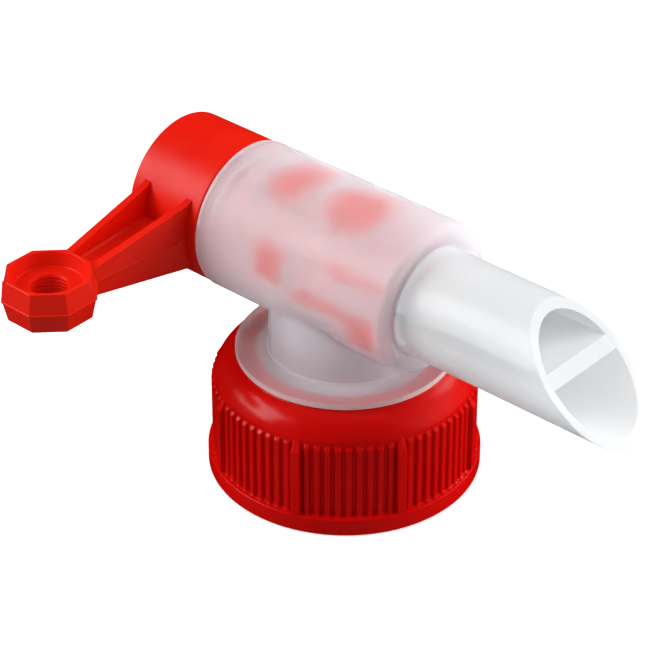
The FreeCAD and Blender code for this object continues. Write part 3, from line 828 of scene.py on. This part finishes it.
# lands above, closing pads below, framed windows on the +X side, and guides on the lever's side
lands = build("Lands", [
    pad(-5.1, 91, 8.0, 8.8, 7.6), pad(liquid_port_y, -90, 6.3, 6.9, 6.3),
    pad(12.2, 90, 5.9, 8.8, 5.4), pad(air_port_y, -90, 4.8, 7.5, 4.6),
    pad(liquid_port_y, 0, 6.3, 6.3, 6.2, window=liquid_port_radius),
    pad(air_port_y, 0, 4.2, 4.2, 4.1, window=air_port_radius),
    arc_pad(4.3, 13.2, 152, 190), arc_pad(rotor_front, -6.0, 145.5, 159.5),
    arc_pad(rotor_front, 3.0, 179, 197), arc_pad(rotor_front, -11.5, 180, 226)])
inner_walls = build("InnerWalls", [
    block((-wall / 2, rotor_front, axis_height - 10.9), (wall / 2, 6.0, axis_height + 10.9)),
    block((0, 3.8, axis_height - 7.6), (7.6, 6.0, axis_height + 7.6))])
ribs = rounded_edges(build("Ribs", [lever_rib(1), lever_rib(-1)]), 0.2)
lever_parts = [core, lands, inner_walls, weighted(ribs), build("Web", [lever_web()], sharp=50),
               weighted(build("Eye", [eye()], sharp=50))]
valve_plug = joined("ValvePlug", lever_parts)
valve_plug.data.materials.clear()
valve_plug.data.materials.append(plug_red)
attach(valve_plug, "valve_plug")
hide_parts("valve_plug")


# ------------------------------------------------------------------------------- floor, light, camera

def make_floor():
    """A plain white floor, large enough to fill every view."""
    size = 3.0
    mesh = bpy.data.meshes.new("Floor")
    corners = [(-size, -size, 0), (size, -size, 0), (size, size, 0), (-size, size, 0)]
    mesh.from_pydata(corners, [], [(0, 1, 2, 3)])
    made = bpy.data.objects.new("Floor", mesh)
    bpy.context.scene.collection.objects.link(made)
    material, _, _ = new_material("FloorWhite", Base_Color=(0.93, 0.93, 0.93, 1), Roughness=0.9,
                                  Emission_Color=(1, 1, 1, 1), Emission_Strength=0.45)
    mesh.materials.append(material)
    made.location.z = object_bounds()[0][2] - 0.0001
    made.visible_diffuse = False
    made.visible_glossy = False


def softbox(name, place, target, size, power):
    """A rectangular area light that faces a point."""
    light = bpy.data.lights.new(name, "AREA")
    light.shape = "RECTANGLE"
    light.size, light.size_y = size
    light.energy = power
    made = bpy.data.objects.new(name, light)
    bpy.context.scene.collection.objects.link(made)
    made.location = place
    made.rotation_euler = (Vector(target) - Vector(place)).to_track_quat("-Z", "Y").to_euler()
    return made


def make_camera():
    """Placed by azimuth and elevation, looking along its own -Z."""
    azimuth, elevation, roll = radians(-48.6978), radians(33.4208), radians(0.1007)
    data = bpy.data.cameras.new("Camera")
    data.sensor_width = 36.0
    data.lens = 152.713
    data.clip_start = 0.01
    made = bpy.data.objects.new("Camera", data)
    bpy.context.scene.collection.objects.link(made)
    back = Vector((sin(azimuth) * cos(elevation), -cos(azimuth) * cos(elevation), sin(elevation)))
    right = Vector((cos(azimuth), sin(azimuth), 0))
    up = back.cross(right)
    turn = Matrix((right, up, back)).transposed() @ Matrix.Rotation(roll, 3, "Z")
    made.matrix_world = Matrix.Translation((-0.373945, -0.322781, 0.359933)) @ turn.to_4x4()
    bpy.context.scene.camera = made


make_floor()
make_camera()
middle = (0, -0.01, 0.04)
softbox("Left", (-0.56, 0.56, 0.52), middle, (0.56, 0.50), 6.8)
softbox("RightGloss", (0.77, -0.20, 0.60), middle, (0.30, 0.30), 1.3)
# the fills light the pieces without showing as reflections
fills = [
    softbox("Right", (0.66, -0.70, 0.30), middle, (1.0, 0.9), 13.5),
    softbox("Overhead", (0.0, 0.0, 0.95), middle, (0.8, 0.8), 2.4),
    softbox("LowLeft", (-0.66, 0.72, 0.10), middle, (0.5, 0.4), 0.6)]
for light in fills:
    light.visible_glossy = False

scene = bpy.context.scene
world = bpy.data.worlds.new("Studio")
world.use_nodes = True
sky = world.node_tree
background = sky.nodes["Background"]
background.inputs["Color"].default_value = (1, 1, 1, 1)
# the world is brighter from below, as over a white table
direction = sky.nodes.new("ShaderNodeTexCoord")
parts = sky.nodes.new("ShaderNodeSeparateXYZ")
strength = sky.nodes.new("ShaderNodeMapRange")
sky.links.new(direction.outputs["Generated"], parts.inputs[0])
sky.links.new(parts.outputs["Z"], strength.inputs["Value"])
for name, value in (("From Min", -0.6), ("From Max", 0.3), ("To Min", 0.48), ("To Max", 0.28)):
    strength.inputs[name].default_value = value
sky.links.new(strength.outputs["Result"], background.inputs["Strength"])
scene.world = world
world.cycles_visibility.glossy = False
scene.view_settings.view_transform = "Standard"
scene.cycles.use_denoising = True
scene.cycles.max_bounces = 20
scene.cycles.transmission_bounces = 16
scene.cycles.glossy_bounces = 6
scene.cycles.diffuse_bounces = 6
